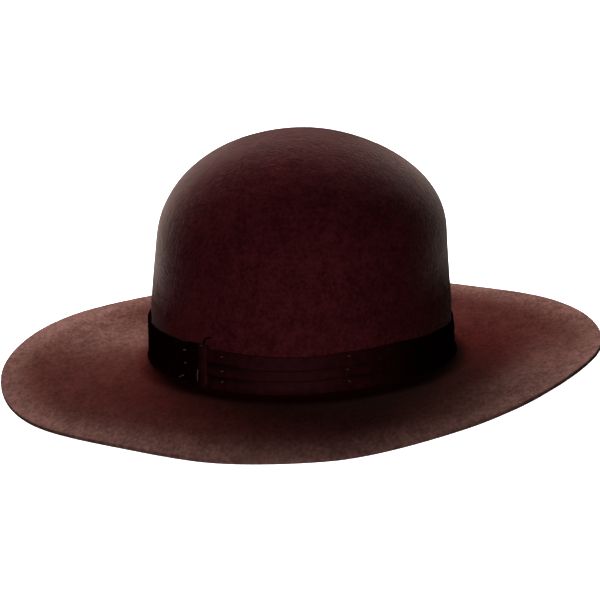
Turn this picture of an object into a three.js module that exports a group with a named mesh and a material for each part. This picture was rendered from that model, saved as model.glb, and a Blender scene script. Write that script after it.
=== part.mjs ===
// A wide-brimmed felt hat with a round, uncreased crown and a pleated ribbon band.
// Units are millimetres, +Z is up, and the front of the hat looks along -Y.
// Turns are in degrees from the front towards +X, the right side as seen from the front.
import * as THREE from "three";

// Felt
const FELT_THICKNESS = 2.2;
const RIM_ROUNDING = 0.5;

// Crown, outside the felt: an oval above the ribbon, tapering walls, and an elliptical dome.
// Heights are measured up from the lower edge of the band.
const CROWN_LENGTH = 203.4;
const CROWN_WIDTH = 166.6;
const CROWN_HEIGHT = 122.9;
const CROWN_TAPER = 0.09;
const DOME_HEIGHT = 54.0;
const RIGHT_FULLNESS = 0.021;

// How the crown stands over the table: leaning back and a little to the right
const LEAN_BACK = 2.1;
const LEAN_RIGHT = 1.6;
const BAND_FOOT_HEIGHT = 8.0;

// The ribbon nips the felt in, and below it the felt turns out into the brim
const NIP_DEPTH = 0.7;
const NIP_EASE = 6.0;
const BREAK_DROP = 3.5;
const BREAK_REACH = 8.0;

// Brim, a row for every 30 degrees.
// width: from the oval below to the cut edge. lift: underside of the edge above the table,
// below 0 where the felt is pressed flat. bow: how far the middle stands above a straight slope.
const BRIM_OVAL_LENGTH = 207.0;
const BRIM_OVAL_WIDTH = 170.0;
const BRIM_STATIONS = [
  { turn: 0, width: 84.0, lift: -1.4, bow: 1.5 },
  { turn: 30, width: 82.6, lift: 6.1, bow: 0.5 },
  { turn: 60, width: 80.8, lift: 11.9, bow: -2.0 },
  { turn: 90, width: 80.4, lift: 8.8, bow: -2.5 },
  { turn: 120, width: 81.0, lift: 5.4, bow: -1.5 },
  { turn: 150, width: 82.7, lift: -0.3, bow: 0.0 },
  { turn: 180, width: 83.4, lift: -0.8, bow: 0.0 },
  { turn: 210, width: 82.8, lift: 1.4, bow: -0.5 },
  { turn: 240, width: 81.8, lift: 4.6, bow: -1.5 },
  { turn: 270, width: 81.7, lift: 3.2, bow: -1.0 },
  { turn: 300, width: 82.7, lift: -0.1, bow: 0.5 },
  { turn: 330, width: 83.7, lift: 3.0, bow: 1.0 },
];
const TABLE_EASE = 0.6;
const PRESSED_FLAT = 0.05;

// Ribbon band: pleats from the top down, each folded edge standing over the next pleat.
// top and fold: how far the pleat's upper line and its folded edge stand out.
// The ribbon is drawn lower at the middle of the front and back.
const RIBBON_GAP = 0.35;
const PLEATS = [
  { height: 7.8, top: 0.9, fold: 1.5 },
  { height: 5.8, top: 1.0, fold: 1.5 },
  { height: 7.9, top: 1.0, fold: 1.5 },
];
const BAND_DIP = 1.6;
const BAND_HEIGHT = PLEATS.reduce((sum, pleat) => sum + pleat.height, 0);
const FOLD_LIP = 0.5;
const FLAT_UNDER_BOW = { from: -104, to: -29, ease: 4 };

// Bow on the left: a keeper wrapped over the band, and a flat folded loop behind it
const BOW_LIFT = 1.7;
const LOOP = { from: -100, to: -43.2, low: -0.3, high: 22.3, thickness: 1.1, steps: 13 };
const KEEPER = { from: -42.6, to: -33.5, low: -0.6, high: 22.8, thickness: 1.7, steps: 4 };
const CORNER_ROUNDING = 0.35;

// Mesh steps
const STEPS_ROUND = 72;
const DOME_ANGLES = [80, 68, 56, 44, 33, 22, 11, 0];
const WALL_HEIGHTS = [47, BAND_HEIGHT + NIP_EASE, BAND_HEIGHT + NIP_EASE / 3, 12];
const BREAK_STEPS = 4;
const BRIM_SHARES = [0.26, 0.42, 0.58, 0.74, 0.88, 0.955, 1];
const BAND_INSIDE_HEIGHTS = [0, 2.2, 4.5, 12, BAND_HEIGHT];
const SMALL_TURN = 0.01;
const SMALL_HEIGHT = 0.2;

const FELT_COLOUR = 0x3a1416;
const RIBBON_COLOUR = 0x1c070a;

const radians = THREE.MathUtils.degToRad;
const smoothstep = THREE.MathUtils.smoothstep;
const stations = new THREE.CatmullRomCurve3(
  BRIM_STATIONS.map((row) => new THREE.Vector3(row.width, row.lift, row.bow)),
  true,
  "catmullrom",
  0.5,
);

// Width, lift and bow of the brim at any turn
function stationAt(turn) {
  const row = stations.getPoint(THREE.MathUtils.euclideanModulo(turn / 360, 1));
  return { width: row.x, lift: row.y, bow: row.z };
}

// Point of an oval in plan
function oval(turn, length, width) {
  const angle = radians(turn);
  return new THREE.Vector3((width / 2) * Math.sin(angle), (-length / 2) * Math.cos(angle), 0);
}

// Direction straight out of that oval
function ovalNormal(turn, length, width) {
  const angle = radians(turn);
  return new THREE.Vector3(length * Math.sin(angle), -width * Math.cos(angle), 0).normalize();
}

// Crown's own frame to the table's frame
function leaned(point) {
  point.applyAxisAngle(new THREE.Vector3(1, 0, 0), -radians(LEAN_BACK));
  point.applyAxisAngle(new THREE.Vector3(0, 1, 0), radians(LEAN_RIGHT));
  point.z += BAND_FOOT_HEIGHT;
  return point;
}

// How far the ribbon draws the felt in
function nip(height) {
  return NIP_DEPTH * (1 - smoothstep(height, BAND_HEIGHT, BAND_HEIGHT + NIP_EASE));
}

// Outside of the crown
function crownPoint(turn, height) {
  const share = THREE.MathUtils.clamp(height / CROWN_HEIGHT, 0, 1);
  const aboveBand = THREE.MathUtils.clamp((height - BAND_HEIGHT) / (CROWN_HEIGHT - BAND_HEIGHT), 0, 1);
  const intoDome = THREE.MathUtils.clamp((height - CROWN_HEIGHT) / DOME_HEIGHT + 1, 0, 1);
  const fuller = RIGHT_FULLNESS * Math.sin(radians(turn)) * Math.sin(Math.PI * share ** 2) ** 2;
  const point = oval(turn, CROWN_LENGTH, CROWN_WIDTH);
  point.multiplyScalar((1 - CROWN_TAPER * aboveBand) * Math.sqrt(1 - intoDome ** 2) * (1 + fuller));
  point.addScaledVector(ovalNormal(turn, CROWN_LENGTH, CROWN_WIDTH), -nip(height));
  point.z = height;
  return leaned(point);
}

// Height on the crown where the dome has turned through an angle, 90 at the top
function domeHeight(angle) {
  return CROWN_HEIGHT - DOME_HEIGHT * (1 - Math.sin(radians(angle)));
}

// A height kept above a floor, with a soft landing
function landed(height, floor) {
  const over = height - floor;
  if (over >= TABLE_EASE) {
    return height;
  }
  if (over <= -TABLE_EASE) {
    return floor;
  }
  return floor + (over + TABLE_EASE) ** 2 / (4 * TABLE_EASE);
}

// Upper face of the brim, at a share of the way from the break's corner to the edge
function brimPoint(turn, share) {
  const station = stationAt(turn);
  const edge = oval(turn, BRIM_OVAL_LENGTH, BRIM_OVAL_WIDTH);
  const outward = ovalNormal(turn, BRIM_OVAL_LENGTH, BRIM_OVAL_WIDTH);
  edge.addScaledVector(outward, station.width - RIM_ROUNDING);
  edge.z = station.lift + FELT_THICKNESS;
  const point = crownPoint(turn, -BREAK_DROP).lerp(edge, share);
  point.z = landed(point.z + station.bow * 4 * share * (1 - share), FELT_THICKNESS);
  return point;
}

// Rounded break, from 0 on the crown's wall to 1 on the brim
function breakPoint(turn, share) {
  const wall = crownPoint(turn, BREAK_REACH - BREAK_DROP);
  const corner = crownPoint(turn, -BREAK_DROP);
  const brim = brimPoint(turn, BREAK_REACH / stationAt(turn).width);
  return new THREE.QuadraticBezierCurve3(wall, corner, brim).getPoint(share);
}

// Outside of the felt behind the ribbon, which turns out below into the break
function wallPoint(turn, height) {
  if (height >= BREAK_REACH - BREAK_DROP) {
    return crownPoint(turn, height);
  }
  return breakPoint(turn, 1 - Math.sqrt((height + BREAK_DROP) / BREAK_REACH));
}

// A point standing proud of that wall
function onWall(turn, height, proud) {
  const across = wallPoint(turn + SMALL_TURN, height).sub(wallPoint(turn - SMALL_TURN, height));
  const up = wallPoint(turn, height + SMALL_HEIGHT).sub(wallPoint(turn, height - SMALL_HEIGHT));
  const outward = across.cross(up).normalize();
  return wallPoint(turn, height).addScaledVector(outward, proud);
}

// Turns of the columns that go all the way round
function turnsRound() {
  return Array.from({ length: STEPS_ROUND }, (_, i) => (360 * i) / STEPS_ROUND);
}

// Closed mesh from points and faces, listed anticlockwise as seen from outside
function solid(points, faces) {
  const geometry = new THREE.BufferGeometry();
  const places = points.flatMap((point) => point.toArray());
  geometry.setAttribute("position", new THREE.Float32BufferAttribute(places, 3));
  geometry.setIndex(faces.flat());
  geometry.computeVertexNormals();
  return geometry;
}

// Two triangles between rows a and b, a above b as seen from outside, and columns i and j
function quad(a, b, i, j) {
  return [[a + i, b + i, b + j], [a + i, b + j, a + j]];
}

// Rows that go round and close between two poles
function lathed(firstPole, rows, lastPole) {
  const columns = rows[0].length;
  const points = [firstPole, ...rows.flat(), lastPole];
  const rowStart = (row) => 1 + row * columns;
  const faces = [];
  for (let i = 0; i < columns; i += 1) {
    const j = (i + 1) % columns;
    faces.push([0, 1 + i, 1 + j]);
    for (let row = 0; row + 1 < rows.length; row += 1) {
      faces.push(...quad(rowStart(row), rowStart(row + 1), i, j));
    }
    faces.push([rowStart(rows.length - 1) + j, rowStart(rows.length - 1) + i, points.length - 1]);
  }
  return solid(points, faces);
}

// Rows that go round and close on themselves across the section
function ringed(rows) {
  const columns = rows[0].length;
  const faces = [];
  for (let i = 0; i < columns; i += 1) {
    for (let row = 0; row < rows.length; row += 1) {
      faces.push(...quad(row * columns, ((row + 1) % rows.length) * columns, i, (i + 1) % columns));
    }
  }
  return solid(rows.flat(), faces);
}

// Rows along an open stretch, closed across the section and capped at both ends
function patch(rows) {
  const columns = rows[0].length;
  const faces = [];
  for (let row = 0; row < rows.length; row += 1) {
    for (let i = 0; i + 1 < columns; i += 1) {
      faces.push(...quad(row * columns, ((row + 1) % rows.length) * columns, i, i + 1));
    }
  }
  for (let row = 1; row + 1 < rows.length; row += 1) {
    faces.push([0, (row + 1) * columns, row * columns]);
    faces.push([columns - 1, (row + 1) * columns - 1, (row + 2) * columns - 1]);
  }
  return solid(rows.flat(), faces);
}

// Normals of a grid of rows, by the differences to the next rows and columns
function gridNormals(rows) {
  return rows.map((row, r) => row.map((_, i) => {
    const columns = row.length;
    const above = rows[Math.max(r - 1, 0)][i];
    const below = rows[Math.min(r + 1, rows.length - 1)][i];
    const around = row[(i + 1) % columns].clone().sub(row[(i + columns - 1) % columns]);
    return below.clone().sub(above).cross(around).normalize();
  }));
}

// Crown and brim: one piece of felt, with the head hollow open below
function feltBody() {
  const surfaces = [
    ...DOME_ANGLES.map((angle) => (turn) => crownPoint(turn, domeHeight(angle))),
    ...WALL_HEIGHTS.map((height) => (turn) => crownPoint(turn, height)),
    ...Array.from({ length: BREAK_STEPS + 1 }, (_, i) => (turn) => breakPoint(turn, i / BREAK_STEPS)),
    ...BRIM_SHARES.map((share) => (turn) => brimPoint(turn, share)),
  ];
  const outside = surfaces.map((surface) => turnsRound().map(surface));
  const normals = gridNormals(outside);
  const inside = outside.map((row, r) => row.map((point, i) => {
    const inner = point.clone().addScaledVector(normals[r][i], -FELT_THICKNESS);
    inner.z = inner.z < PRESSED_FLAT ? 0 : inner.z;
    return inner;
  }));
  const rim = outside.at(-1).map((point, i) => {
    const outward = point.clone().sub(outside.at(-2)[i]).setLength(RIM_ROUNDING);
    return point.clone().lerp(inside.at(-1)[i], 0.5).add(outward);
  });
  const top = crownPoint(0, CROWN_HEIGHT);
  const insideTop = leaned(new THREE.Vector3(0, 0, CROWN_HEIGHT - FELT_THICKNESS));
  return lathed(top, [...outside, rim, ...inside.reverse()], insideTop);
}

// How much of the pleats' relief is left beside and under the bow
function relief(turn) {
  const signed = THREE.MathUtils.euclideanModulo(turn + 180, 360) - 180;
  const { from, to, ease } = FLAT_UNDER_BOW;
  const past = smoothstep(signed, from - ease, from + ease);
  const beyond = smoothstep(signed, to - ease, to + ease);
  return 1 - past * (1 - beyond);
}

// Height of the ribbon as a share of its full height, lower at the middle of the front and back
function drawn(turn) {
  return 1 - (BAND_DIP / BAND_HEIGHT) * Math.max(Math.cos(2 * radians(turn)), 0);
}

// Pleated ribbon round the crown's foot
function hatBand() {
  const section = [];
  let height = BAND_HEIGHT;
  for (const pleat of PLEATS) {
    section.push({ height, proud: pleat.top, folded: 0 });
    height -= pleat.height;
    section.push({ height: height + FOLD_LIP, proud: pleat.top, folded: pleat.fold - pleat.top });
  }
  section.push({ height: 0, proud: PLEATS.at(-1).top, folded: 0 });
  for (const inside of BAND_INSIDE_HEIGHTS) {
    section.push({ height: inside, proud: 0, folded: 0 });
  }
  return ringed(section.map((row) => turnsRound().map(
    (turn) => onWall(turn, row.height * drawn(turn), RIBBON_GAP + row.proud + row.folded * relief(turn)),
  )));
}

// A flat ribbon strip lying over the band, its corners rounded
function bowStrip(strip) {
  const outer = BOW_LIFT + strip.thickness;
  const section = [
    { height: strip.high - CORNER_ROUNDING, proud: outer },
    { height: (strip.high + strip.low) / 2, proud: outer },
    { height: strip.low + CORNER_ROUNDING, proud: outer },
    { height: strip.low, proud: outer - CORNER_ROUNDING },
    { height: strip.low, proud: BOW_LIFT },
    { height: (strip.high + strip.low) / 2, proud: BOW_LIFT },
    { height: strip.high, proud: BOW_LIFT },
    { height: strip.high, proud: outer - CORNER_ROUNDING },
  ];
  const turns = Array.from(
    { length: strip.steps + 1 },
    (_, i) => THREE.MathUtils.lerp(strip.from, strip.to, i / strip.steps),
  );
  return patch(section.map((row) => turns.map((turn) => onWall(turn, row.height, row.proud))));
}

function piece(name, geometry, color) {
  const material = new THREE.MeshStandardMaterial({ color, roughness: 0.9, metalness: 0 });
  const mesh = new THREE.Mesh(geometry, material);
  mesh.name = name;
  return mesh;
}

const hat = new THREE.Group();
hat.add(piece("felt_body", feltBody(), FELT_COLOUR));
hat.add(piece("hat_band", hatBand(), RIBBON_COLOUR));
hat.add(piece("bow_loop", bowStrip(LOOP), RIBBON_COLOUR));
hat.add(piece("bow_keeper", bowStrip(KEEPER), RIBBON_COLOUR));

// The origin is on the table under the middle of the brim
const middle = new THREE.Box3().setFromObject(hat, true).getCenter(new THREE.Vector3());
hat.position.set(-middle.x, -middle.y, 0);

export default hat;
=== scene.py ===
from math import atan2, cos, degrees, exp, hypot, pi, radians, sin, sqrt

import bmesh
import bpy
from mathutils import Matrix, Vector, noise


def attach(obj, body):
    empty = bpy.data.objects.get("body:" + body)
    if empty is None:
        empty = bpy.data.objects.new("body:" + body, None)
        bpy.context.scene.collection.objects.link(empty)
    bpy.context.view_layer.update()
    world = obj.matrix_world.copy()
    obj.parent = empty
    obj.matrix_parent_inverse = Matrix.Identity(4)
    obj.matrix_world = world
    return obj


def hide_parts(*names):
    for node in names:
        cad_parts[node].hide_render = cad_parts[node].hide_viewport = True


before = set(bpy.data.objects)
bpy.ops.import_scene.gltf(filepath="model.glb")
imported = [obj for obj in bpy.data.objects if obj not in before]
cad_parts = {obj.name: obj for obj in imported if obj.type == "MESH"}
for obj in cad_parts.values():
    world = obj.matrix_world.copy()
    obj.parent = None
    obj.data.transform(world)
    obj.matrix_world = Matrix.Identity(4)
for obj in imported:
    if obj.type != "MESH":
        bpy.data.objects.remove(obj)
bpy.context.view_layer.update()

# Felt body. Crown and brim are one piece of dark maroon wool felt, wetted and pulled over a block:
# an open crown with no crease, brushed to a raised nap, and a smoother brim with a raw cut edge. It
# stands on its brim at the front, the left front and the back, and the sides lift in low waves.

# sizes on the hat are in millimetres and angles in degrees, until placed() gives a point in metres,
# while the ribbons' flat sizes, the materials' patterns and the studio are in metres throughout
FELT_THICKNESS = 2.2
CROWN_LENGTH = 203.4
CROWN_WIDTH = 166.6
CROWN_HEIGHT = 122.9
CROWN_TAPER = 0.09
DOME_HEIGHT = 54.0
RIGHT_FULLNESS = 0.021
LEAN_BACK = 2.1
LEAN_RIGHT = 1.6
BAND_FOOT_HEIGHT = 8.0
BAND_HEIGHT = 21.5
NIP_DEPTH = 0.7
NIP_EASE = 6.0
BREAK_DROP = 3.5
BREAK_REACH = 8.0
BRIM_OVAL_LENGTH = 207.0
BRIM_OVAL_WIDTH = 170.0
RIM_ROUNDING = 0.5
RIM_CORNER = 50
RIM_BEYOND = 140.0
TABLE_EASE = 0.6
HAT_SHIFT = Vector((0.5522, 0.3000, 0.0))
# every 30 degrees from the front towards the right: width, lift of the cut edge, bow of the middle
BRIM_STATIONS = (
    (84.0, -1.4, 1.5),
    (82.6, 6.1, 0.5),
    (80.8, 11.9, -2.0),
    (80.4, 8.8, -2.5),
    (81.0, 5.4, -1.5),
    (82.7, -0.3, 0.0),
    (83.4, -0.8, 0.0),
    (82.8, 1.4, -0.5),
    (81.8, 4.6, -1.5),
    (81.7, 3.2, -1.0),
    (82.7, -0.1, 0.5),
    (83.7, 3.0, 1.0),
)
# rings of the mesh: angle on the dome, height on the wall, share of the break and of the brim
DOME_RINGS = (86, 80, 73, 66, 59, 52, 45, 38, 31, 24, 16, 8, 0)
WALL_RINGS = (62, 55, 48, 41, 34, 30, 27.5, 25, 22.5, 19, 14, 9, 6.5)
BREAK_RINGS = (0.0, 0.2, 0.4, 0.6, 0.8, 1.0)
BRIM_RINGS = (0.16, 0.23, 0.31, 0.39, 0.47, 0.55, 0.63, 0.71, 0.79, 0.86, 0.92, 0.96, 0.985, 1.0)
FELT_COLUMNS = 96
START_RADIUS = 6.0
# low swells that the hand leaves in the felt, and finer ones between them
SWELL_DEPTH = 0.22
SWELL_LENGTH = 46
FINER_SWELL_SHARE = 0.45
FINER_SWELL_LENGTH = 19
FINER_SWELL_SHIFT = Vector((7, 3, 1))
EVEN_BELOW = 9
# painted light: the brim is painted paler at its rim as a glow, and further in at the front and the back
RIM_GLOW_WIDTH = 27.0
RIM_GLOW_WIDER_LENGTHWAYS = 18.0
RIM_GLOW_SHARE = 0.8
RIM_GLOW_FALL = 1.7
# painted pools of light on the brim: turn, share of the way to the rim, half widths of both, strength
PAINTED_LIGHT_PATCHES = ((-115, 0.52, 15, 0.60, 0.62), (66, 0.58, 24, 0.30, 0.75))
# painted shade: beside the ribbon the brim is painted near black, and round the front a wider zone is
# painted redder and darker as the crown's shadow
RIBBON_SHADE_FROM = 3.0
RIBBON_SHADE_TO = 14.0
RIBBON_SHADE_SHARE = 0.95
RIBBON_SHADE_BEHIND = 0.30
CROWN_SHADOW_FROM = 22.0
CROWN_SHADOW_TO = 64.0
CROWN_SHADOW_SHARE = 0.34
ROUND_THE_FRONT = ((-95, -40), (98, 142))
RIBBON_FOOT = 2
INSIDE_THE_WALL = -0.7 * FELT_THICKNESS
UNDERSIDE_NORMAL = -0.5
# under the ribbon the smooth finish gives way to the nap, which lies flatter at the crown's foot
FINISH_CHANGE_HEIGHT = 11.0
NAP_FLAT_BELOW = 36.0
NAP_RAISED_ABOVE = 56.0
NAP_WAVER = 3.5
NAP_WAVER_LENGTH = 9
NAP_STEPS = 6
FLAT_NAP_SHEEN = 0.06
RAISED_NAP_SHEEN = 0.52
# deepest and lightest colour of each finish, of the painted light on the brim and of the crown's painted
# shadow, and the painted shade closest to the ribbon
BRUSHED_FELT = ((0.033, 0.0042, 0.0056, 1), (0.077, 0.0112, 0.0138, 1))
SMOOTH_FELT = ((0.042, 0.0098, 0.0088, 1), (0.082, 0.0206, 0.0178, 1))
PAINTED_LIGHT_FELT = ((0.125, 0.060, 0.050, 1), (0.205, 0.098, 0.083, 1))
CROWN_SHADOW_FELT = ((0.032, 0.0026, 0.0028, 1), (0.062, 0.0056, 0.0060, 1))
CLOSEST_SHADE = (0.010, 0.0008, 0.0010, 1)
# the mottle of the wool, where its colours begin and end, and how far it breaks up the painted light on
# the brim
CLOUDS_IN_MOTTLE = 0.55
PATCHES_IN_MOTTLE = 0.24
MOTTLE_RANGE = (0.49, 0.78)
PAINTED_LIGHT_PER_MOTTLE = 1.6
PAINTED_LIGHT_AT_LEAST = 0.2
# the painted shade share turns the felt redder, and past the share of the painted crown shadow almost
# black
REDDER_PER_SHARE = 2.5
BLACKER_PER_SHARE = 1.8
BLACKER_START = -0.61
# how much the clouds and the single fibres count beside the specks in the relief of the nap
CLOUDS_IN_RELIEF = 1.2
FIBRES_IN_RELIEF = 0.6
RELIEF_DEPTH = 0.0006


def clamp(value):
    return min(max(value, 0.0), 1.0)


def eased(value, low, high):
    share = clamp((value - low) / (high - low))
    return share * share * (3 - 2 * share)


def signed(turn):
    return (turn + 180) % 360 - 180


def on_stretch(turn, stretch):
    """1 on a stretch of the way round, 0 off it, and eased where it begins and where it ends."""
    begins, ends = stretch
    turn = signed(turn)
    return eased(turn, *begins) * (1 - eased(turn, *ends))


def station(turn):
    """Width, lift and bow of the brim at a turn, on a smooth closed curve through the stations."""
    spacing = 360 / len(BRIM_STATIONS)
    place = (turn % 360) / spacing
    index = int(place)
    share = place - index
    rows = [BRIM_STATIONS[(index + step) % len(BRIM_STATIONS)] for step in (-1, 0, 1, 2)]
    found = []
    for before, here, after, later in zip(*rows):
        leaves = (after - before) / 2
        arrives = (later - here) / 2
        square = 3 * (after - here) - 2 * leaves - arrives
        cube = 2 * (here - after) + leaves + arrives
        found.append(here + leaves * share + square * share**2 + cube * share**3)
    return found


def oval(turn, length, width):
    angle = radians(turn)
    return Vector((width / 2 * sin(angle), -length / 2 * cos(angle), 0))


def oval_normal(turn, length, width):
    angle = radians(turn)
    return Vector((length * sin(angle), -width * cos(angle), 0)).normalized()


def oval_turn(point, length, width):
    """The turn at which an oval of this shape passes a point."""
    return degrees(atan2(point.x * length, -point.y * width))


def leaned(point):
    point = Matrix.Rotation(-radians(LEAN_BACK), 3, "X") @ point
    point = Matrix.Rotation(radians(LEAN_RIGHT), 3, "Y") @ point
    point.z += BAND_FOOT_HEIGHT
    return point


def crown_point(turn, height):
    share = clamp(height / CROWN_HEIGHT)
    above_band = clamp((height - BAND_HEIGHT) / (CROWN_HEIGHT - BAND_HEIGHT))
    into_dome = clamp((height - CROWN_HEIGHT) / DOME_HEIGHT + 1)
    fuller = RIGHT_FULLNESS * sin(radians(turn)) * sin(pi * share**2) ** 2
    point = oval(turn, CROWN_LENGTH, CROWN_WIDTH)
    point *= (1 - CROWN_TAPER * above_band) * sqrt(1 - into_dome**2) * (1 + fuller)
    nip = NIP_DEPTH * (1 - eased(height, BAND_HEIGHT, BAND_HEIGHT + NIP_EASE))
    point -= nip * oval_normal(turn, CROWN_LENGTH, CROWN_WIDTH)
    point.z = height
    return leaned(point)


def landed(height, floor):
    """A height that comes to rest softly on the table instead of going below it."""
    over = height - floor
    if over >= TABLE_EASE:
        return height
    if over <= -TABLE_EASE:
        return floor
    return floor + (over + TABLE_EASE) ** 2 / (4 * TABLE_EASE)


def brim_point(turn, share):
    width, lift, bow = station(turn)
    edge = oval(turn, BRIM_OVAL_LENGTH, BRIM_OVAL_WIDTH)
    edge += oval_normal(turn, BRIM_OVAL_LENGTH, BRIM_OVAL_WIDTH) * width
    edge.z = lift + FELT_THICKNESS
    point = crown_point(turn, -BREAK_DROP).lerp(edge, share)
    point.z = landed(point.z + bow * 4 * share * (1 - share), FELT_THICKNESS)
    return point


def break_point(turn, share):
    """On the rounded break, from 0 on the crown's wall to 1 on the brim."""
    wall = crown_point(turn, BREAK_REACH - BREAK_DROP)
    corner = crown_point(turn, -BREAK_DROP)
    brim = brim_point(turn, BREAK_REACH / station(turn)[0])
    return wall * (1 - share) ** 2 + corner * 2 * share * (1 - share) + brim * share**2


def placed(point):
    """Millimetres on the hat's own block to metres in the frame."""
    return (point + HAT_SHIFT) / 1000


def swollen(point):
    """How far the uneven felt stands out at a point."""
    swell = noise.noise(point / SWELL_LENGTH)
    swell += FINER_SWELL_SHARE * noise.noise(point / FINER_SWELL_LENGTH + FINER_SWELL_SHIFT)
    return swell * SWELL_DEPTH


def first_turn(vertex):
    """The turn of a vertex on the round circle that a piece is started from."""
    return degrees(atan2(vertex.co.x, -vertex.co.y)) % 360


def ring_of(surface, *place):
    """One ring of a surface, as a function that gives its point at a turn."""
    return lambda turn: surface(turn, *place)


def add_ring(thing, ring):
    """In edit mode: extrudes the selected outer ring once and lays it on the next one."""
    bpy.ops.mesh.extrude_edges_move()
    mesh = bmesh.from_edit_mesh(thing.data)
    turn_of = mesh.verts.layers.float["turn"]
    for vertex in mesh.verts:
        if vertex.select:
            vertex.co = placed(ring(vertex[turn_of]))
    bmesh.update_edit_mesh(thing.data)


def select_edges(thing, wanted):
    """In edit mode: selects the edges that pass a test, and nothing else."""
    bpy.ops.mesh.select_mode(type="EDGE")
    bpy.ops.mesh.select_all(action="DESELECT")
    mesh = bmesh.from_edit_mesh(thing.data)
    for edge in mesh.edges:
        edge.select = wanted(edge)
    bmesh.update_edit_mesh(thing.data)


def turn_faces_out():
    """In edit mode: points every face outwards, and leaves edit mode."""
    bpy.ops.mesh.select_all(action="SELECT")
    bpy.ops.mesh.normals_make_consistent(inside=False)
    bpy.ops.object.mode_set(mode="OBJECT")


def thicken(thing, thickness, offset, even):
    thickened = thing.modifiers.new("thickness", "SOLIDIFY")
    thickened.thickness = thickness / 1000
    thickened.offset = offset
    thickened.use_even_offset = even
    bpy.ops.object.modifier_apply(modifier="thickness")


def round_off(thing):
    rounded = thing.modifiers.new("round", "SUBSURF")
    rounded.levels = rounded.render_levels = 1
    bpy.ops.object.modifier_apply(modifier="round")


def dome_height(angle):
    return CROWN_HEIGHT - DOME_HEIGHT * (1 - sin(radians(angle)))


def at_the_rim(edge):
    beyond = hypot(edge.verts[0].co.x, edge.verts[0].co.y) > RIM_BEYOND / 1000
    return beyond and edge.calc_face_angle(0) > radians(RIM_CORNER)


bpy.ops.object.select_all(action="DESELECT")
bpy.ops.mesh.primitive_circle_add(vertices=FELT_COLUMNS, radius=START_RADIUS / 1000, fill_type="TRIFAN")
felt = bpy.context.object
felt.name = "felt_crown_and_brim"
felt.data.attributes.new("turn", "FLOAT", "POINT")
for vertex in felt.data.vertices:
    turn = first_turn(vertex)
    felt.data.attributes["turn"].data[vertex.index].value = turn
    middle = hypot(vertex.co.x, vertex.co.y) < START_RADIUS / 2000
    vertex.co = placed(crown_point(turn, CROWN_HEIGHT if middle else dome_height(DOME_RINGS[0])))

felt_rings = [ring_of(crown_point, dome_height(angle)) for angle in DOME_RINGS[1:]]
felt_rings += [ring_of(crown_point, height) for height in WALL_RINGS]
felt_rings += [ring_of(break_point, share) for share in BREAK_RINGS]
felt_rings += [ring_of(brim_point, share) for share in BRIM_RINGS]
bpy.ops.object.mode_set(mode="EDIT")
select_edges(felt, lambda edge: edge.is_boundary)
for ring in felt_rings:
    add_ring(felt, ring)
turn_faces_out()

thicken(felt, FELT_THICKNESS, offset=-1, even=True)
bpy.ops.object.mode_set(mode="EDIT")
select_edges(felt, at_the_rim)
bpy.ops.mesh.bevel(offset=RIM_ROUNDING / 1000, segments=2, affect="EDGES")
bpy.ops.mesh.select_all(action="DESELECT")
bpy.ops.object.mode_set(mode="OBJECT")
round_off(felt)
for vertex, normal in zip(felt.data.vertices, [v.normal.copy() for v in felt.data.vertices]):
    clear_of_table = eased(vertex.co.z * 1000, 0, EVEN_BELOW)
    vertex.co += normal * swollen(vertex.co * 1000) * clear_of_table / 1000
    vertex.co.z = max(vertex.co.z, 0)
bpy.ops.object.shade_smooth()


def painted_light_share(turn, from_rim, way_out):
    """How much painted light the brim gets: a pale glow at its rim, and pools of light."""
    reach = RIM_GLOW_WIDTH + RIM_GLOW_WIDER_LENGTHWAYS * cos(radians(turn)) ** 2
    painted_light = RIM_GLOW_SHARE * (1 - eased(from_rim, 0, reach)) ** RIM_GLOW_FALL
    for patch_turn, patch_way, half_turn, half_way, strength in PAINTED_LIGHT_PATCHES:
        off_turn = (turn - patch_turn) / half_turn
        off_way = (way_out - patch_way) / half_way
        painted_light += strength * exp(-off_turn**2 - off_way**2)
    return painted_light


def painted_shade_share(turn, from_ribbon):
    """How much painted shade the brim gets beside the ribbon, and as the crown's shadow further out round
    the front.
    """
    in_front = on_stretch(turn, ROUND_THE_FRONT)
    beside = RIBBON_SHADE_SHARE * (1 - eased(from_ribbon, RIBBON_SHADE_FROM, RIBBON_SHADE_TO))
    beside *= RIBBON_SHADE_BEHIND + (1 - RIBBON_SHADE_BEHIND) * in_front
    redder = CROWN_SHADOW_SHARE * (1 - eased(from_ribbon, CROWN_SHADOW_FROM, CROWN_SHADOW_TO)) * in_front
    return max(beside, redder)


# painted light on the brim: a pale glow at the rim and pools of light
felt.data.attributes.new("painted_light_on_the_brim", "FLOAT", "POINT")
# painted shade beside the ribbon, and the crown's painted shadow round the front
felt.data.attributes.new("painted_shade_on_the_brim", "FLOAT", "POINT")
painted_light_values = felt.data.attributes["painted_light_on_the_brim"].data
painted_shade_values = felt.data.attributes["painted_shade_on_the_brim"].data
for vertex in felt.data.vertices:
    point = vertex.co * 1000 - HAT_SHIFT
    turn = oval_turn(point, CROWN_LENGTH, CROWN_WIDTH)
    from_ribbon = point.xy.length - crown_point(turn, RIBBON_FOOT).xy.length
    on_crown = point.z > BAND_FOOT_HEIGHT + BAND_HEIGHT / 2 or from_ribbon < INSIDE_THE_WALL
    if on_crown or vertex.normal.z < UNDERSIDE_NORMAL:
        continue
    rim = brim_point(oval_turn(point, BRIM_OVAL_LENGTH, BRIM_OVAL_WIDTH), 1)
    from_rim = rim.xy.length - point.xy.length
    way_out = from_ribbon / (from_ribbon + from_rim)
    painted_light_values[vertex.index].value = painted_light_share(turn, from_rim, way_out)
    painted_shade_values[vertex.index].value = painted_shade_share(turn, from_ribbon)


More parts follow.
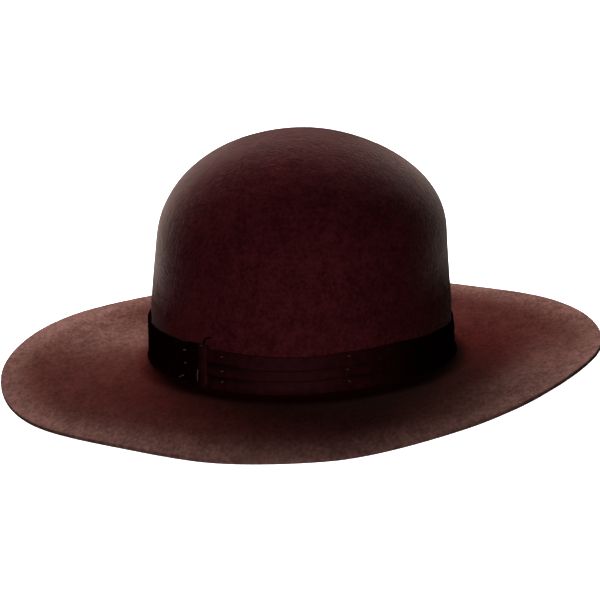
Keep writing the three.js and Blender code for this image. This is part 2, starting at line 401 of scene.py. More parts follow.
def plain_material(name, roughness, gloss):
    """A material, its node tree and its main shader."""
    material = bpy.data.materials.new(name)
    material.use_nodes = True
    shader = material.node_tree.nodes["Principled BSDF"]
    shader.inputs["Roughness"].default_value = roughness
    shader.inputs["Specular IOR Level"].default_value = gloss
    return material, material.node_tree, shader


def feed(tree, socket, source):
    """Gives a socket a fixed value, or another node's output."""
    if isinstance(source, bpy.types.NodeSocket):
        tree.links.new(source, socket)
    else:
        socket.default_value = source


def grain(tree, place, scale, detail=2.0, roughness=0.5, distortion=0.0):
    """An uneven pattern, lighter and darker round a half."""
    pattern = tree.nodes.new("ShaderNodeTexNoise")
    pattern.inputs["Scale"].default_value = scale
    pattern.inputs["Detail"].default_value = detail
    pattern.inputs["Roughness"].default_value = roughness
    pattern.inputs["Distortion"].default_value = distortion
    tree.links.new(place, pattern.inputs["Vector"])
    return pattern.outputs["Fac"]


def mesh_share(tree, name):
    """A share that the mesh holds for each of its points."""
    attribute = tree.nodes.new("ShaderNodeAttribute")
    attribute.attribute_name = name
    return attribute.outputs["Fac"]


def product(tree, first, second, added=0.0, clamped=False):
    """The first times the second, and more added to it."""
    multiplied = tree.nodes.new("ShaderNodeMath")
    multiplied.operation = "MULTIPLY_ADD"
    multiplied.use_clamp = clamped
    for socket, source in zip(multiplied.inputs, (first, second, added)):
        feed(tree, socket, source)
    return multiplied.outputs[0]


def mixed(tree, kind, share, first, second):
    """Two numbers (FLOAT) or two colours (RGBA), with a share of the second."""
    mix = tree.nodes.new("ShaderNodeMix")
    mix.data_type = kind
    feed(tree, mix.inputs["Factor"], share)
    feed(tree, mix.inputs["A"], first)
    feed(tree, mix.inputs["B"], second)
    return mix.outputs["Result"]


def colour_range(tree, share, colours, positions=(0.0, 1.0)):
    """From a deep colour to a light one, between two positions of a share."""
    ramp = tree.nodes.new("ShaderNodeValToRGB")
    for element, colour, position in zip(ramp.color_ramp.elements, colours, positions):
        element.color = colour
        element.position = position
    tree.links.new(share, ramp.inputs["Fac"])
    return ramp.outputs["Color"]


def raise_surface(tree, shader, height, strength, depth):
    bump = tree.nodes.new("ShaderNodeBump")
    bump.inputs["Strength"].default_value = strength
    bump.inputs["Distance"].default_value = depth
    tree.links.new(height, bump.inputs["Height"])
    tree.links.new(bump.outputs["Normal"], shader.inputs["Normal"])


def felt_material(name, colours, sheen, sheen_spread, sheen_tint, brushing, fuzz):
    """Mottled wool, paler at the brim's rim and in patches as painted light, and redder round the front
    and near black beside the ribbon as painted shade.
    """
    material, tree, shader = plain_material(name, roughness=0.95, gloss=0.0)
    shader.inputs["Sheen Weight"].default_value = sheen
    shader.inputs["Sheen Roughness"].default_value = sheen_spread
    shader.inputs["Sheen Tint"].default_value = sheen_tint
    place = tree.nodes.new("ShaderNodeTexCoord")
    brushed = tree.nodes.new("ShaderNodeMapping")
    brushed.inputs["Scale"].default_value = (1.0, brushing, 1.0)
    tree.links.new(place.outputs["Object"], brushed.inputs["Vector"])
    along_the_nap = brushed.outputs["Vector"]
    clouds = grain(tree, along_the_nap, scale=130, detail=5, roughness=0.72)
    specks = grain(tree, along_the_nap, scale=520, detail=3, roughness=0.6)
    patches = grain(tree, along_the_nap, scale=24)
    fibres = grain(tree, along_the_nap, scale=1500, detail=3, distortion=1.2)
    mottle = mixed(tree, "FLOAT", CLOUDS_IN_MOTTLE, specks, clouds)
    uneven = product(tree, patches, PATCHES_IN_MOTTLE, mottle)
    own = colour_range(tree, uneven, colours, MOTTLE_RANGE)
    # painted light: the pale colour of the rim glow and of the pools of light on the brim
    pale = colour_range(tree, uneven, PAINTED_LIGHT_FELT, MOTTLE_RANGE)
    red = colour_range(tree, uneven, CROWN_SHADOW_FELT, MOTTLE_RANGE)
    broken_up = product(tree, mottle, PAINTED_LIGHT_PER_MOTTLE, PAINTED_LIGHT_AT_LEAST)
    painted_light = product(tree, mesh_share(tree, "painted_light_on_the_brim"), broken_up, clamped=True)
    lightened = mixed(tree, "RGBA", painted_light, own, pale)
    # painted shade: redder in the crown's shadow and near black beside the ribbon
    painted_shade = mesh_share(tree, "painted_shade_on_the_brim")
    blacker = product(tree, painted_shade, BLACKER_PER_SHARE, BLACKER_START, clamped=True)
    toned = mixed(tree, "RGBA", blacker, red, CLOSEST_SHADE)
    redder = product(tree, painted_shade, REDDER_PER_SHARE, clamped=True)
    tree.links.new(mixed(tree, "RGBA", redder, lightened, toned), shader.inputs["Base Color"])
    relief = product(tree, fibres, FIBRES_IN_RELIEF, specks)
    relief = product(tree, clouds, CLOUDS_IN_RELIEF, relief)
    raise_surface(tree, shader, relief, fuzz, RELIEF_DEPTH)
    return material


felt.data.materials.append(
    felt_material(
        "maroon_wool_felt_smooth",
        SMOOTH_FELT,
        sheen=0.05,
        sheen_spread=0.30,
        sheen_tint=(1.0, 0.72, 0.52, 1),
        brushing=0.42,
        fuzz=0.36,
    )
)
for step in range(NAP_STEPS + 1):
    felt.data.materials.append(
        felt_material(
            f"maroon_wool_felt_brushed_{step}",
            BRUSHED_FELT,
            sheen=FLAT_NAP_SHEEN + (RAISED_NAP_SHEEN - FLAT_NAP_SHEEN) * step / NAP_STEPS,
            sheen_spread=0.22,
            sheen_tint=(1.0, 0.80, 0.70, 1),
            brushing=1.0,
            fuzz=0.55,
        )
    )
for face in felt.data.polygons:
    height = face.center.z * 1000 - BAND_FOOT_HEIGHT
    if height <= FINISH_CHANGE_HEIGHT:
        face.material_index = 0
        continue
    height += NAP_WAVER * noise.noise(face.center * 1000 / NAP_WAVER_LENGTH)
    raised = clamp((height - NAP_FLAT_BELOW) / (NAP_RAISED_ABOVE - NAP_FLAT_BELOW))
    face.material_index = 1 + round(raised * NAP_STEPS)
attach(felt, "root")
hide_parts("felt_body")

# Ribbon band. A 35 mm maroon satin-faced ribbon with fine cross ribs, pressed lengthways into three
# pleats, each folded edge standing over the next pleat. It is drawn tight round the foot of the
# crown and its ends meet under the bow. Its sides and back are painted near black as shade, and its folds
# painted darker as shade.
RIBBON_WAY_ROUND = 0.59
RIBBON_THICKNESS = 0.30
RIB_SPACING = 0.00062
RIB_DEPTH = 0.00012
RIB_STRENGTH = 0.35
# the wave texture repeats at this distance when its scale is one
WAVE_LENGTH = 2 * pi / 20
BAND_COLUMNS = 288
# along the folded cloth: height up from the lower edge, and how far it stands off the felt
BAND_PROFILE = (
    (21.5, 0.62), (20.6, 0.80), (18.2, 0.98), (16.0, 1.28), (14.4, 1.55), (13.80, 1.56), (13.70, 1.30),
    (14.2, 1.08), (15.8, 0.98), (16.9, 0.88), (17.1, 0.70), (16.7, 0.55), (15.0, 0.52), (13.4, 0.62),
    (12.6, 0.80), (10.4, 1.15), (8.6, 1.54), (8.00, 1.56), (7.90, 1.30),
    (8.4, 1.08), (9.6, 0.98), (10.7, 0.88), (10.9, 0.70), (10.5, 0.55), (9.0, 0.52), (7.5, 0.62),
    (6.7, 0.80), (4.2, 1.15), (2.0, 1.35), (0.5, 1.50), (0.0, 1.52),
)
PLEAT_BASE = 0.5
BAND_CLEARANCE = 0.2
BAND_START_RADIUS = 100.0
# steps to either side of a point, from which the felt's slope there is read
SMALL_TURN = 0.01
SMALL_RISE = 0.2
# turn from the front, height of the lower edge, height of the upper edge
BAND_EDGES = (
    (-180, 0.0, 20.0),
    (-135, 0.0, 21.0),
    (-90, 0.0, 21.5),
    (-58, -0.4, 21.6),
    (-44, -0.4, 22.2),
    (-26, -1.0, 20.6),
    (-10, -1.0, 19.9),
    (4, -0.6, 19.7),
    (20, 0.3, 21.3),
    (40, 0.4, 21.8),
    (58, -0.3, 20.6),
    (90, -1.2, 18.9),
    (135, -0.4, 20.2),
    (180, 0.0, 20.0),
)
# stretches of the way round, each with the turns where it begins and where it ends
PRESSED_FLAT = ((-109, -99), (-42, -33))
GATHERED = ((-42, -34), (-20, -8))
DRAWN_UP = ((-44, -34), (-24, -15))
UNSHADED_FRONT = ((-60, -45), (24, 56))
FLATTER_BY = 0.75
DEEPER_BY = 0.5
# beside the bow the middle pleat is drawn up: by how much, at which height, and how far from it
RISE = 1.4
RISE_HEIGHT = 14.2
RISE_HALF_WIDTH = 4
# the slight waver of the cloth up and down and in and out, and its length round and up the crown
WAVER_UP = 0.2
WAVER_UP_FROM = 3
WAVER_OUT = 0.08
WAVERS_ROUND = 4
WAVER_HEIGHT = 7
FINER_WAVER = 1.7
# which part of the profile lies in a fold, and how dark its painted shade is
IN_THE_FOLD = 0.70
OUT_OF_THE_FOLD = 0.82
UPPERMOST_HEIGHT = 20
FOLD_SHADE = 0.60
FOLD_LIP_SHADE = 0.75
# steps from the front to the sides and back painted near black as shade, and the front's gloss
SIDE_SHADE_STEPS = 4
FRONT_GLOSS = 0.13
GLOSS_TINT = (1.0, 0.30, 0.38, 1)
SATIN_ROUGHNESS = 0.60
CLOUDY_RANGE = (0.30, 0.75)
# deepest and lightest colour of the front and of the ribbon painted near black as shade, the painted
# shade on the sides and back, and the painted shade inside a fold
FRONT_RIBBON = ((0.007, 0.0007, 0.0009, 1), (0.021, 0.0024, 0.0030, 1))
SHADED_RIBBON = ((0.002, 0.0002, 0.0003, 1), (0.009, 0.0009, 0.0011, 1))
SIDE_SHADE_COLOUR = (0.0045, 0.0005, 0.0006, 1)
FOLD_SHADE_COLOUR = (0.0006, 0.0001, 0.0001, 1)


def wall_point(turn, height):
    if height >= BREAK_REACH - BREAK_DROP:
        return crown_point(turn, height)
    return break_point(turn, 1 - sqrt((height + BREAK_DROP) / BREAK_REACH))


def on_wall(turn, height, proud):
    """A point that stands proud of the felt behind the ribbon."""
    across = wall_point(turn + SMALL_TURN, height) - wall_point(turn - SMALL_TURN, height)
    up = wall_point(turn, height + SMALL_RISE) - wall_point(turn, height - SMALL_RISE)
    return wall_point(turn, height) + across.cross(up).normalized() * proud


def band_edges(turn):
    """Heights of the ribbon's lower and upper edge at a turn."""
    turn = signed(turn)
    for (turn_a, low_a, high_a), (turn_b, low_b, high_b) in zip(BAND_EDGES, BAND_EDGES[1:]):
        if turn <= turn_b:
            share = eased(turn, turn_a, turn_b)
            return low_a + (low_b - low_a) * share, high_a + (high_b - high_a) * share
    return BAND_EDGES[-1][1:]


def pleat_depth(turn):
    """The pleats are pressed flat beside and under the bow, and stand deepest just in front of it."""
    return 1 - FLATTER_BY * on_stretch(turn, PRESSED_FLAT) + DEEPER_BY * on_stretch(turn, GATHERED)


def fold_shade(turn, height, proud):
    """Painted shade, darkest where one pleat lies under the next."""
    deepest = on_stretch(turn, GATHERED)
    if proud <= IN_THE_FOLD:
        return FOLD_SHADE + (1 - FOLD_SHADE) * deepest
    on_a_lip = proud <= OUT_OF_THE_FOLD and height < UPPERMOST_HEIGHT
    return FOLD_LIP_SHADE * deepest if on_a_lip else 0.0


def band_point(turn, height, proud):
    low, high = band_edges(turn)
    around = Vector((cos(radians(turn)), sin(radians(turn)), 0)) * WAVERS_ROUND
    around.z = height / WAVER_HEIGHT
    waver = WAVER_UP * noise.noise(around) * clamp(height / WAVER_UP_FROM)
    off_rise = (height - RISE_HEIGHT) / RISE_HALF_WIDTH
    waver += RISE * on_stretch(turn, DRAWN_UP) * max(1 - off_rise**2, 0)
    stands = PLEAT_BASE + (proud - PLEAT_BASE) * pleat_depth(turn)
    stands += WAVER_OUT * noise.noise(around * FINER_WAVER)
    return on_wall(turn, low + (high - low) * height / BAND_HEIGHT + waver, BAND_CLEARANCE + stands)


def lay_ribs_round(thing, metres_per_turn):
    """Lays the UV map in metres: along the ribbon round the crown, and up across it."""
    thing.data.uv_layers[0].name = "along_the_ribbon"
    uv = thing.data.uv_layers["along_the_ribbon"]
    middle = HAT_SHIFT / 1000
    for face in thing.data.polygons:
        centre = face.center - middle
        centre_turn = atan2(centre.x, -centre.y)
        for corner in face.loop_indices:
            point = thing.data.vertices[thing.data.loops[corner].vertex_index].co
            turn = atan2(point.x - middle.x, -(point.y - middle.y))
            turn = centre_turn + (turn - centre_turn + pi) % (2 * pi) - pi
            uv.data[corner].uv = (turn / (2 * pi) * metres_per_turn, point.z)


bpy.ops.object.select_all(action="DESELECT")
bpy.ops.mesh.primitive_circle_add(
    vertices=BAND_COLUMNS, radius=BAND_START_RADIUS / 1000, fill_type="NOTHING"
)
band = bpy.context.object
band.name = "ribbon_band"
for share_name in ("turn", "painted_fold_shade", "painted_side_shade"):
    band.data.attributes.new(share_name, "FLOAT", "POINT")
for vertex in band.data.vertices:
    turn = first_turn(vertex)
    band.data.attributes["turn"].data[vertex.index].value = turn
    vertex.co = placed(band_point(turn, *BAND_PROFILE[0]))
bpy.ops.object.mode_set(mode="EDIT")
bpy.ops.mesh.select_mode(type="EDGE")
bpy.ops.mesh.select_all(action="SELECT")
for height, proud in BAND_PROFILE[1:]:
    add_ring(band, ring_of(band_point, height, proud))
    mesh = bmesh.from_edit_mesh(band.data)
    turn_of = mesh.verts.layers.float["turn"]
    shade_of = mesh.verts.layers.float["painted_fold_shade"]
    for vertex in mesh.verts:
        if vertex.select:
            vertex[shade_of] = fold_shade(vertex[turn_of], height, proud)
    bmesh.update_edit_mesh(band.data)
turn_faces_out()
thicken(band, RIBBON_THICKNESS, offset=0, even=False)
round_off(band)
bpy.ops.object.shade_smooth()
lay_ribs_round(band, RIBBON_WAY_ROUND)
# painted shade on the band's sides and back, away from the front
painted_side_shade = band.data.attributes["painted_side_shade"].data
for vertex in band.data.vertices:
    turn = oval_turn(vertex.co * 1000 - HAT_SHIFT, CROWN_LENGTH, CROWN_WIDTH)
    painted_side_shade[vertex.index].value = 1 - on_stretch(turn, UNSHADED_FRONT)


def satin_ribbon(name, gloss, colours):
    """Ribbed satin, with painted shade: near black on the band's sides and back, and darkest in a fold.
    """
    material, tree, shader = plain_material(name, SATIN_ROUGHNESS, gloss)
    shader.inputs["Specular Tint"].default_value = GLOSS_TINT
    place = tree.nodes.new("ShaderNodeUVMap")
    place.uv_map = "along_the_ribbon"
    cloudy = grain(tree, place.outputs["UV"], scale=260, detail=4)
    toned = colour_range(tree, cloudy, colours, CLOUDY_RANGE)
    darker = mixed(tree, "RGBA", mesh_share(tree, "painted_side_shade"), toned, SIDE_SHADE_COLOUR)
    # painted shade in the folds
    folded = mixed(tree, "RGBA", mesh_share(tree, "painted_fold_shade"), darker, FOLD_SHADE_COLOUR)
    tree.links.new(folded, shader.inputs["Base Color"])
    ribs = tree.nodes.new("ShaderNodeTexWave")
    ribs.wave_type = "BANDS"
    ribs.bands_direction = "X"
    ribs.inputs["Scale"].default_value = WAVE_LENGTH / RIB_SPACING
    ribs.inputs["Distortion"].default_value = 0.6
    ribs.inputs["Detail"].default_value = 1
    tree.links.new(place.outputs["UV"], ribs.inputs["Vector"])
    raise_surface(tree, shader, ribs.outputs["Fac"], RIB_STRENGTH, RIB_DEPTH)
    return material


for step in range(SIDE_SHADE_STEPS):
    gloss = FRONT_GLOSS * (1 - step / SIDE_SHADE_STEPS)
    band.data.materials.append(satin_ribbon(f"maroon_satin_ribbon_{step}", gloss, FRONT_RIBBON))
# the ribbon painted near black as shade, for the band's sides and back, the bow loop and part of the
# keeper
shaded_ribbon = satin_ribbon("maroon_satin_ribbon_painted_shade", 0.0, SHADED_RIBBON)
band.data.materials.append(shaded_ribbon)
for face in band.data.polygons:
    share = sum(painted_side_shade[corner].value for corner in face.vertices) / len(face.vertices)
    face.material_index = round(share * SIDE_SHADE_STEPS)
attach(band, "root")
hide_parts("hat_band")

# Bow loop. A length of 22.5 mm ribbon of the same cloth, folded back on itself into one flat loop
# that lies along the band on the left side. Its rolled end points to the back of the hat, and both its
# layers run together under the keeper, where they are pinched a little lower and pucker.
LOOP_FLAT_WIDTH = 0.0225
LOOP_FLAT_LENGTH = 0.178
LOOP_BACK = -99.6
LOOP_FRONT = -38.5
LOOP_LOW = -0.3
LOOP_HIGH = 22.3
LOOP_INNER = 1.35
LOOP_OUTER = 1.95
LOOP_STEPS = 96
LOOP_STEPS_ACROSS = 14
# share of the ribbon's length in each layer, and how many degrees the roll between them bulges
LAYER_SHARE = 0.485
ROLL_BULGE = 0.45
# the loop is pinched at the keeper, puffs up between its ends, puckers beside the keeper and ripples
PINCHED_BY = 0.12
PINCH_REACH = 0.16
PUFF_DEPTH = 0.20
PUFF_REACH = 1.1
PUCKER_DEPTH = 0.22
PUCKER_REACH = (0.02, 0.34)
PUCKERS_ACROSS = 2.5
PUCKER_SHIFT = 0.7
RIPPLE_DEPTH = 0.08
RIPPLES = Vector((5, 2, 3))


def loop_point(along, across):
    """along is 0 and 1 where the ribbon leaves the keeper, and 0.5 at the rolled end."""
    roll = clamp((along - LAYER_SHARE) / (1 - 2 * LAYER_SHARE))
    share = clamp(min(along, 1 - along) / LAYER_SHARE)
    turn = LOOP_FRONT + (LOOP_BACK - LOOP_FRONT) * share - ROLL_BULGE * sin(pi * roll)
    at_keeper = 1 - eased(share, 0, PINCH_REACH)
    middle = (LOOP_LOW + LOOP_HIGH) / 2
    half = (LOOP_HIGH - LOOP_LOW) / 2 * (1 - PINCHED_BY * at_keeper)
    height = middle + half * (2 * across - 1)
    outer = 0.5 - 0.5 * cos(pi * roll)
    proud = LOOP_INNER + (LOOP_OUTER - LOOP_INNER) * outer
    proud += PUFF_DEPTH * sin(pi * clamp(share * PUFF_REACH)) * outer
    folds = cos(across * 2 * pi * PUCKERS_ACROSS + PUCKER_SHIFT)
    proud += PUCKER_DEPTH * (1 - eased(share, *PUCKER_REACH)) * outer * folds
    proud += RIPPLE_DEPTH * noise.noise(Vector((share, across, outer)) * RIPPLES)
    return on_wall(turn, height, proud)


def strip_of_ribbon(name, steps_along, steps_across, shape, length, width, material):
    """A flat grid of cloth, laid point by point on its shape, with a UV map of its own flat size."""
    bpy.ops.object.select_all(action="DESELECT")
    bpy.ops.mesh.primitive_grid_add(x_subdivisions=steps_along, y_subdivisions=steps_across, size=2)
    strip = bpy.context.object
    strip.name = name
    strip.data.uv_layers[0].name = "along_the_ribbon"
    uv = strip.data.uv_layers["along_the_ribbon"]
    flat = [((v.co.x + 1) / 2, (v.co.y + 1) / 2) for v in strip.data.vertices]
    for corner, loop in enumerate(strip.data.loops):
        along, across = flat[loop.vertex_index]
        uv.data[corner].uv = (along * length, across * width)
    for vertex, (along, across) in zip(strip.data.vertices, flat):
        vertex.co = placed(shape(along, across))
    thicken(strip, RIBBON_THICKNESS, offset=0, even=False)
    round_off(strip)
    bpy.ops.object.mode_set(mode="EDIT")
    turn_faces_out()
    bpy.ops.object.shade_smooth()
    strip.data.materials.append(material)
    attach(strip, "root")
    return strip


# the loop is painted near black as shade
bow_loop = strip_of_ribbon(
    "ribbon_bow_loop",
    LOOP_STEPS,
    LOOP_STEPS_ACROSS,
    loop_point,
    LOOP_FLAT_LENGTH,
    LOOP_FLAT_WIDTH,
    shaded_ribbon,
)
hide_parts("bow_loop")

# Bow keeper. A short piece of the same ribbon wrapped once over the band and the loop's ends. It is
# gathered into soft upright folds, and both its ends are tucked in behind the band and sewn there.
# The side next to the loop is painted near black as shade, and the side next to the band is coloured like
# the band's front.
KEEPER_FLAT_WIDTH = 0.018
KEEPER_FLAT_LENGTH = 0.036
KEEPER_LEFT = -43.0
KEEPER_RIGHT = -33.2
# once round the band, from behind its upper edge: height, and how far the cloth stands off the felt
KEEPER_PATH = (
    (19.4, 0.34), (21.2, 0.36), (22.2, 0.50), (22.6, 1.00), (22.6, 1.70), (22.2, 2.35), (21.2, 2.62),
    (19.0, 2.66), (15.5, 2.68), (11.5, 2.70), (7.5, 2.70), (4.0, 2.68), (1.6, 2.64), (0.1, 2.50),
    (-0.7, 2.15), (-1.0, 1.60), (-0.9, 1.00), (0.0, 0.45), (1.6, 0.34),
)
# place across the keeper, half width and rise of its upright folds, and of one low down
KEEPER_FOLDS = ((0.77, 0.13, 0.50), (0.56, 0.07, -0.35), (0.14, 0.10, 0.15))
LOW_FOLD = (0.36, 0.09, 0.45)
LOW_FOLD_GONE = (7, 13)
# how far the cloth stands off where its outer side begins and where it shows fully
SHOWN_FROM = (1.2, 3.0)
# the keeper narrows at its waist, its sides and folds waver, it creases, and its edges drop
KEEPER_FOOT = -1
KEEPER_HEIGHT = 24
WAIST = 0.06
SIDE_WAVER = 0.35
SIDE_WAVER_LENGTH = 6
LINE_WAVER = 0.05
LINE_WAVER_LENGTH = 7
CREASE_DEPTH = 0.16
CREASE_LENGTH = 2.6
EDGE_DROP = 0.9
KEEPER_SHADED_SIDE = 0.66
KEEPER_STEPS = 54
KEEPER_STEPS_ACROSS = 30


def fold_rise(line, middle, half_width, rise):
    return rise * exp(-(((line - middle) / half_width) ** 2))


def keeper_point(along, across):
    place = along * (len(KEEPER_PATH) - 1)
    index = min(int(place), len(KEEPER_PATH) - 2)
    share = place - index
    height = KEEPER_PATH[index][0] * (1 - share) + KEEPER_PATH[index + 1][0] * share
    proud = KEEPER_PATH[index][1] * (1 - share) + KEEPER_PATH[index + 1][1] * share
    shown = eased(proud, *SHOWN_FROM)
    pinched = 1 - WAIST * shown * sin(pi * clamp((height - KEEPER_FOOT) / KEEPER_HEIGHT))
    turn = (KEEPER_LEFT + KEEPER_RIGHT) / 2 + (across - 0.5) * (KEEPER_RIGHT - KEEPER_LEFT) * pinched
    turn += SIDE_WAVER * shown * noise.noise(Vector((height / SIDE_WAVER_LENGTH, across * 1.5, 4)))
    line = across + LINE_WAVER * noise.noise(Vector((height / LINE_WAVER_LENGTH, 9, across)))
    folds = sum(fold_rise(line, *fold) for fold in KEEPER_FOLDS)
    folds += (1 - eased(height, *LOW_FOLD_GONE)) * fold_rise(line, *LOW_FOLD)
    folds += CREASE_DEPTH * noise.noise(Vector((height / CREASE_LENGTH, across * 6, 2)))
    folds -= EDGE_DROP * (2 * across - 1) ** 6
    return on_wall(turn, height, proud + shown * folds)


keeper = strip_of_ribbon(
    "ribbon_bow_keeper",
    KEEPER_STEPS,
    KEEPER_STEPS_ACROSS,
    keeper_point,
    KEEPER_FLAT_LENGTH,
    KEEPER_FLAT_WIDTH,
    band.data.materials[0],
)
# the keeper's side next to the loop is painted near black as shade
keeper.data.materials.append(shaded_ribbon)
across_of = keeper.data.uv_layers["along_the_ribbon"].data
for face in keeper.data.polygons:
    across = sum(across_of[corner].uv.y for corner in face.loop_indices) / face.loop_total
    face.material_index = 1 if across / KEEPER_FLAT_WIDTH < KEEPER_SHADED_SIDE else 0
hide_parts("bow_keeper")

# Tacking. Ten short stitches of wine-red thread. Two rows of three hold the pleats, in front of the
# bow and past the middle of the front, and three more hold the loop behind the keeper, the lowest of
# them slanting. The last one stands upright on the keeper's lower half.
STITCH_LENGTH = 1.9
THREAD_THICKNESS = 0.7
THREAD_COLUMNS = 10
STITCH_NARROWING = 0.45
STITCH_ARCH = 0.35
STITCH_CUTS = 7
NEXT_TURN = 0.5
# turn, height, how far its foot stands off, slant in degrees, length as a share of a stitch
STITCHES = (
    (-27.0, 18.0, 1.75, 20, 1.0),
    (-27.0, 10.2, 1.75, 20, 1.0),
    (-27.0, 4.5, 1.75, 20, 1.0),
    (20.0, 19.0, 1.60, -20, 1.0),
    (19.4, 12.0, 1.70, -20, 1.0),
    (20.0, 5.5, 1.75, -20, 1.0),
    (-44.2, 17.9, 2.28, 4, 1.7),
    (-43.9, 10.9, 2.28, 10, 1.2),
    (-46.2, 2.6, 2.28, 24, 2.7),
    (-37.2, 6.0, 2.90, 88, 3.5),
)
WINE_RED_THREAD = ((0.040, 0.014, 0.016, 1), (0.120, 0.050, 0.052, 1))


def is_lengthways(edge):
    return abs(edge.verts[0].co.z - edge.verts[1].co.z) > STITCH_LENGTH / 2000


def thread_material(name, roughness, gloss, colours):
    material, tree, shader = plain_material(name, roughness, gloss)
    place = tree.nodes.new("ShaderNodeTexCoord")
    strands = grain(tree, place.outputs["Object"], scale=2600)
    tree.links.new(colour_range(tree, strands, colours), shader.inputs["Base Color"])
    return material


bpy.ops.object.select_all(action="DESELECT")
bpy.ops.mesh.primitive_cylinder_add(
    vertices=THREAD_COLUMNS, radius=THREAD_THICKNESS / 2000, depth=STITCH_LENGTH / 1000
)
stitch = bpy.context.object
stitch.name = "tack_stitches"
bpy.ops.object.mode_set(mode="EDIT")
select_edges(stitch, is_lengthways)
bpy.ops.mesh.subdivide(number_cuts=STITCH_CUTS)
bpy.ops.object.mode_set(mode="OBJECT")
for vertex in stitch.data.vertices:
    share = vertex.co.z / (STITCH_LENGTH / 2000)
    vertex.co.x *= 1 - STITCH_NARROWING * share**4
    vertex.co.y *= 1 - STITCH_NARROWING * share**4
    vertex.co.y += STITCH_ARCH / 1000 * (1 - share**2)
stitch_shape = [vertex.co.copy() for vertex in stitch.data.vertices]
stitches = [stitch]
for _ in STITCHES[1:]:
    other = stitch.copy()
    other.data = stitch.data.copy()
    bpy.context.collection.objects.link(other)
    stitches.append(other)
for thing, (turn, height, proud, slant, length) in zip(stitches, STITCHES):
    foot = placed(on_wall(turn, height, proud))
    out = (placed(on_wall(turn, height, proud + 1)) - foot).normalized()
    around = (placed(on_wall(turn + NEXT_TURN, height, proud)) - foot).normalized()
    upward = out.cross(around).normalized()
    along = around * cos(radians(slant)) + upward * sin(radians(slant))
    side = out.cross(along)
    for vertex, shape in zip(thing.data.vertices, stitch_shape):
        vertex.co = foot + side * shape.x + out * shape.y + along * shape.z * length
bpy.ops.object.select_all(action="DESELECT")
for thing in stitches:
    thing.select_set(True)
bpy.context.view_layer.objects.active = stitch
bpy.ops.object.join()
round_off(stitch)
bpy.ops.object.shade_smooth()
stitch.data.materials.append(thread_material("wine_red_thread", 0.6, 0.2, WINE_RED_THREAD))
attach(stitch, "root")

# Thread end. The cut tail of the dark waxed thread that sews the keeper down stands up from behind
# its upper edge and curls over to the right against the felt.
THREAD_END_THICKNESS = 1.6
THREAD_END_TAPER = 0.5
# turn, height, how far it stands off the felt
THREAD_END = (
    (-35.4, 20.4, 1.5),
    (-35.3, 22.0, 1.5),
    (-35.3, 23.6, 1.1),
    (-35.0, 25.0, 0.9),
    (-34.2, 26.2, 0.9),
    (-33.0, 26.9, 0.9),
    (-31.8, 27.2, 0.8),
)
DARK_WAXED_THREAD = ((0.002, 0.0005, 0.0005, 1), (0.008, 0.0016, 0.0018, 1))

bpy.ops.object.select_all(action="DESELECT")
bpy.ops.mesh.primitive_circle_add(
    vertices=THREAD_COLUMNS, radius=THREAD_END_THICKNESS / 2000, fill_type="NGON"
)
thread_end = bpy.context.object
thread_end.name = "cut_thread_end"
section = [vertex.co.copy() for vertex in thread_end.data.vertices]
centres = [placed(on_wall(*row)) for row in THREAD_END]
bpy.ops.object.mode_set(mode="EDIT")
bpy.ops.mesh.select_all(action="SELECT")
for index, centre in enumerate(centres):
    if index:
        bpy.ops.mesh.extrude_region_move()
    ahead = (centres[min(index + 1, len(centres) - 1)] - centres[max(index - 1, 0)]).normalized()
    side = ahead.cross(Vector((0, 1, 0))).normalized()
    other = side.cross(ahead)
    thinned = 1 - THREAD_END_TAPER * index / len(centres)
    mesh = bmesh.from_edit_mesh(thread_end.data)
    chosen = [vertex for vertex in mesh.verts if vertex.select]
    for vertex, shape in zip(chosen, section):
        vertex.co = centre + (side * shape.x + other * shape.y) * thinned
    bmesh.update_edit_mesh(thread_end.data)
turn_faces_out()
round_off(thread_end)
bpy.ops.object.shade_smooth()
thread_end.data.materials.append(thread_material("dark_waxed_thread", 0.9, 0.0, DARK_WAXED_THREAD))
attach(thread_end, "root")

# Studio. The hat stands on a plain pale floor. Two softboxes behind and above make its nap glow at
# the edges, and a low fill in front keeps it just readable. A lamp of its own lights the floor alone,
# and the floor throws no light back, so the floor stays pale and the hat's underside stays dark.
CAMERA_DISTANCE = 1.810
CAMERA_UP = radians(15.5)
CAMERA_ROUND = radians(3.0)
CAMERA_ROLL = radians(2.83)
CAMERA_LENS = 195.8
AIM_RIGHT = 0.00013
AIM_UP = 0.03526
FLOOR_SIZE = 14
FLOOR_GREY = (0.60, 0.60, 0.60, 1)
WHITE = (1, 1, 1, 1)
# name, place, size and power of each light that falls on the hat
SOFT_LIGHTS = (
    ("back_softbox", (-0.055, 0.786, 0.531), (0.85, 0.45), 12.0),
    ("high_back_softbox", (-0.26, 0.58, 0.700), (0.60, 0.40), 7.0),
    ("front_fill", (-0.13, -1.49, 0.26), (0.7, 0.4), 9.6),
)
LIGHTS_AIM = Vector((0, 0, 0.06))
FLOOR_LIGHT_HEIGHT = 2.5
FLOOR_LIGHT_SIZE = (3.0, 3.0)
FLOOR_LIGHT_POWER = 320
FLOOR_LIGHT_AIM = Vector((0, 0.001, 0))

bpy.ops.object.select_all(action="DESELECT")
bpy.ops.mesh.primitive_plane_add(size=FLOOR_SIZE, location=(0, 0, 0))
floor = bpy.context.object
floor.name = "pale_floor"
floor_material, _, paper = plain_material("pale_paper_floor", 1.0, 0.0)
paper.inputs["Base Color"].default_value = FLOOR_GREY
floor.data.materials.append(floor_material)
floor.visible_diffuse = False
floor.visible_glossy = False

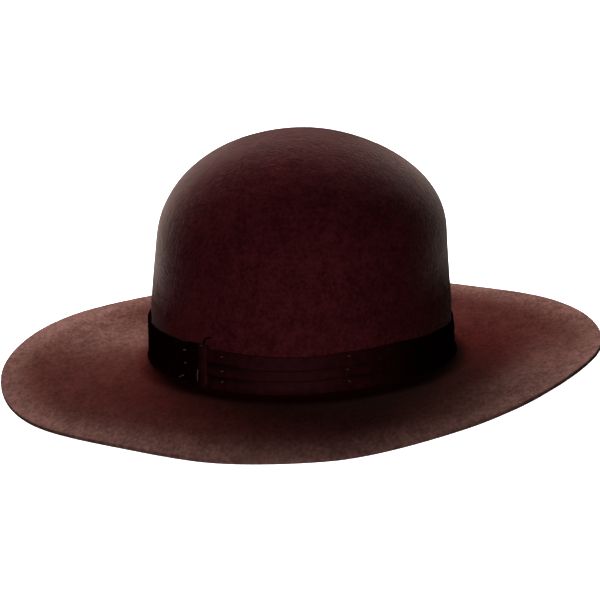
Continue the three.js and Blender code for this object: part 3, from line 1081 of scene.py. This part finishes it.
right = Vector((cos(CAMERA_ROUND), sin(CAMERA_ROUND), 0))
ahead = Vector((-sin(CAMERA_ROUND) * cos(CAMERA_UP), cos(CAMERA_ROUND) * cos(CAMERA_UP), -sin(CAMERA_UP)))
upward = right.cross(ahead)
camera_data = bpy.data.cameras.new("photo_view")
camera_data.lens = CAMERA_LENS
camera_data.sensor_width = 36
camera_data.clip_start = 0.05
camera_data.clip_end = 60
camera = bpy.data.objects.new("photo_view", camera_data)
bpy.context.collection.objects.link(camera)
aim = HAT_SHIFT / 1000 + right * AIM_RIGHT + upward * AIM_UP
eye = HAT_SHIFT / 1000 - ahead * CAMERA_DISTANCE
look = (aim - eye).normalized()
level_right = look.cross(Vector((0, 0, 1))).normalized()
level_up = level_right.cross(look)
tilted_right = level_right * cos(CAMERA_ROLL) - level_up * sin(CAMERA_ROLL)
tilted_up = level_right * sin(CAMERA_ROLL) + level_up * cos(CAMERA_ROLL)
axes = Matrix((tilted_right, tilted_up, -look)).transposed()
camera.matrix_world = Matrix.Translation(eye) @ axes.to_4x4()
bpy.context.scene.camera = camera


def soft_light(name, place, size, power, aim_at):
    data = bpy.data.lights.new(name, "AREA")
    data.shape = "RECTANGLE"
    data.size, data.size_y = size
    data.energy = power
    lamp = bpy.data.objects.new(name, data)
    bpy.context.collection.objects.link(lamp)
    lamp.location = place
    lamp.rotation_euler = (aim_at - Vector(place)).to_track_quat("-Z", "Y").to_euler()
    lamp.visible_camera = False
    return lamp


for name, place, size, power in SOFT_LIGHTS:
    soft_light(name, place, size, power, LIGHTS_AIM)
floor_light = soft_light(
    "light_for_the_floor",
    (0.0, 0.0, FLOOR_LIGHT_HEIGHT),
    FLOOR_LIGHT_SIZE,
    FLOOR_LIGHT_POWER,
    FLOOR_LIGHT_AIM,
)
lit_floor = bpy.data.collections.new("lit_by_the_floor_light")
lit_floor.objects.link(floor)
floor_light.light_linking.receiver_collection = lit_floor
floor_light.light_linking.blocker_collection = lit_floor

surroundings = bpy.data.worlds.new("pale_studio")
surroundings.use_nodes = True
nodes, links = surroundings.node_tree.nodes, surroundings.node_tree.links
unlit = nodes["Background"]
unlit.inputs["Color"].default_value = WHITE
unlit.inputs["Strength"].default_value = 0.0
shown = nodes.new("ShaderNodeBackground")
shown.inputs["Color"].default_value = WHITE
shown.inputs["Strength"].default_value = 1.0
rays = nodes.new("ShaderNodeLightPath")
mixed_sky = nodes.new("ShaderNodeMixShader")
links.new(rays.outputs["Is Camera Ray"], mixed_sky.inputs["Fac"])
links.new(unlit.outputs["Background"], mixed_sky.inputs[1])
links.new(shown.outputs["Background"], mixed_sky.inputs[2])
links.new(mixed_sky.outputs["Shader"], nodes["World Output"].inputs["Surface"])
bpy.context.scene.world = surroundings
bpy.context.scene.view_settings.view_transform = "Standard"
bpy.context.scene.view_settings.look = "None"
bpy.context.scene.view_settings.exposure = 0
bpy.context.scene.view_settings.gamma = 1
